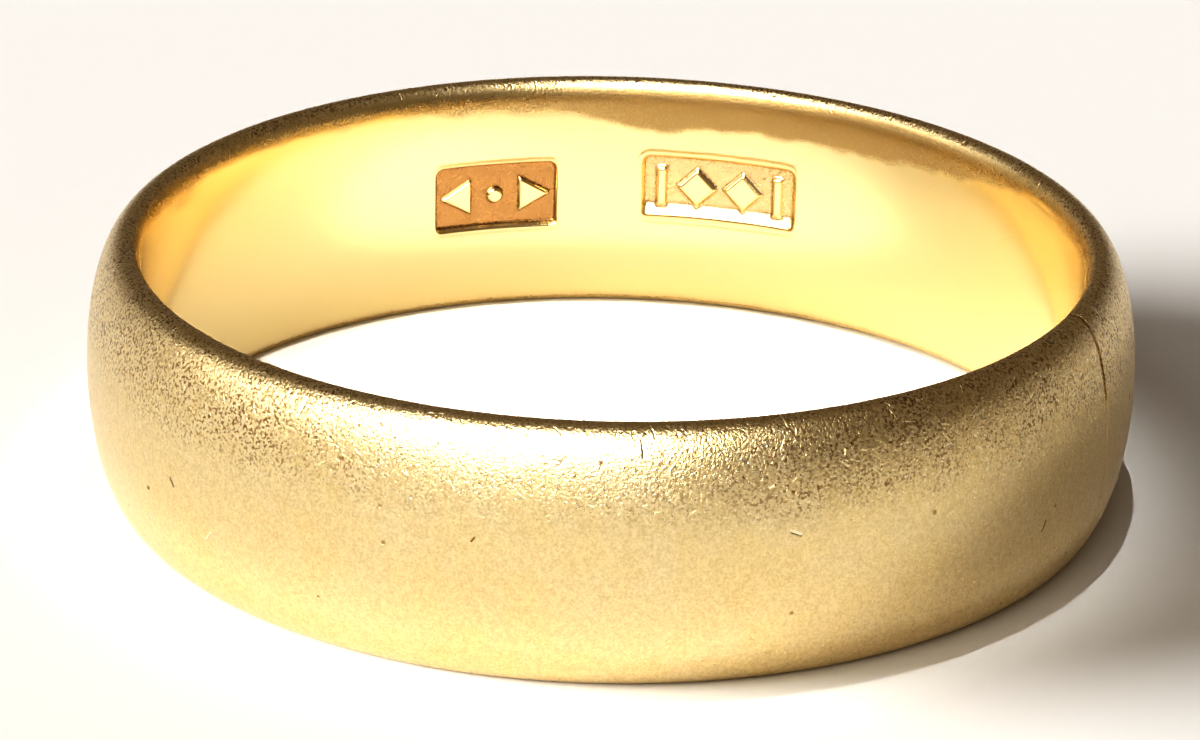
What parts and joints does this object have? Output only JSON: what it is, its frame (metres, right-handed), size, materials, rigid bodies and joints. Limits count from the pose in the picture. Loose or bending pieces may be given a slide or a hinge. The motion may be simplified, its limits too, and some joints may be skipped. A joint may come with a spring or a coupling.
{
  "type": "wedding band",
  "caption": "Plain D-section gold wedding band with a low crown, flat polished bore, satin outside, soldered butt joint and struck cartouches inside.",
  "frame": {"origin": "centre of the lower rim's circle, on the plane that the ring stands on when its bore is upright", "axes": "+Z along the bore, upwards; -Y towards the viewer's side of the ring; +X to the right"},
  "size_m": [0.0212, 0.0212, 0.0052],
  "materials": {
    "gold": "satin outside from wear, polished bore",
    "gold_solder": "satin, slightly duller than the band"
  },
  "bodies": {
    "root": {"band": "gold", "solder_seam": "gold_solder"}
  },
  "joints": []
}
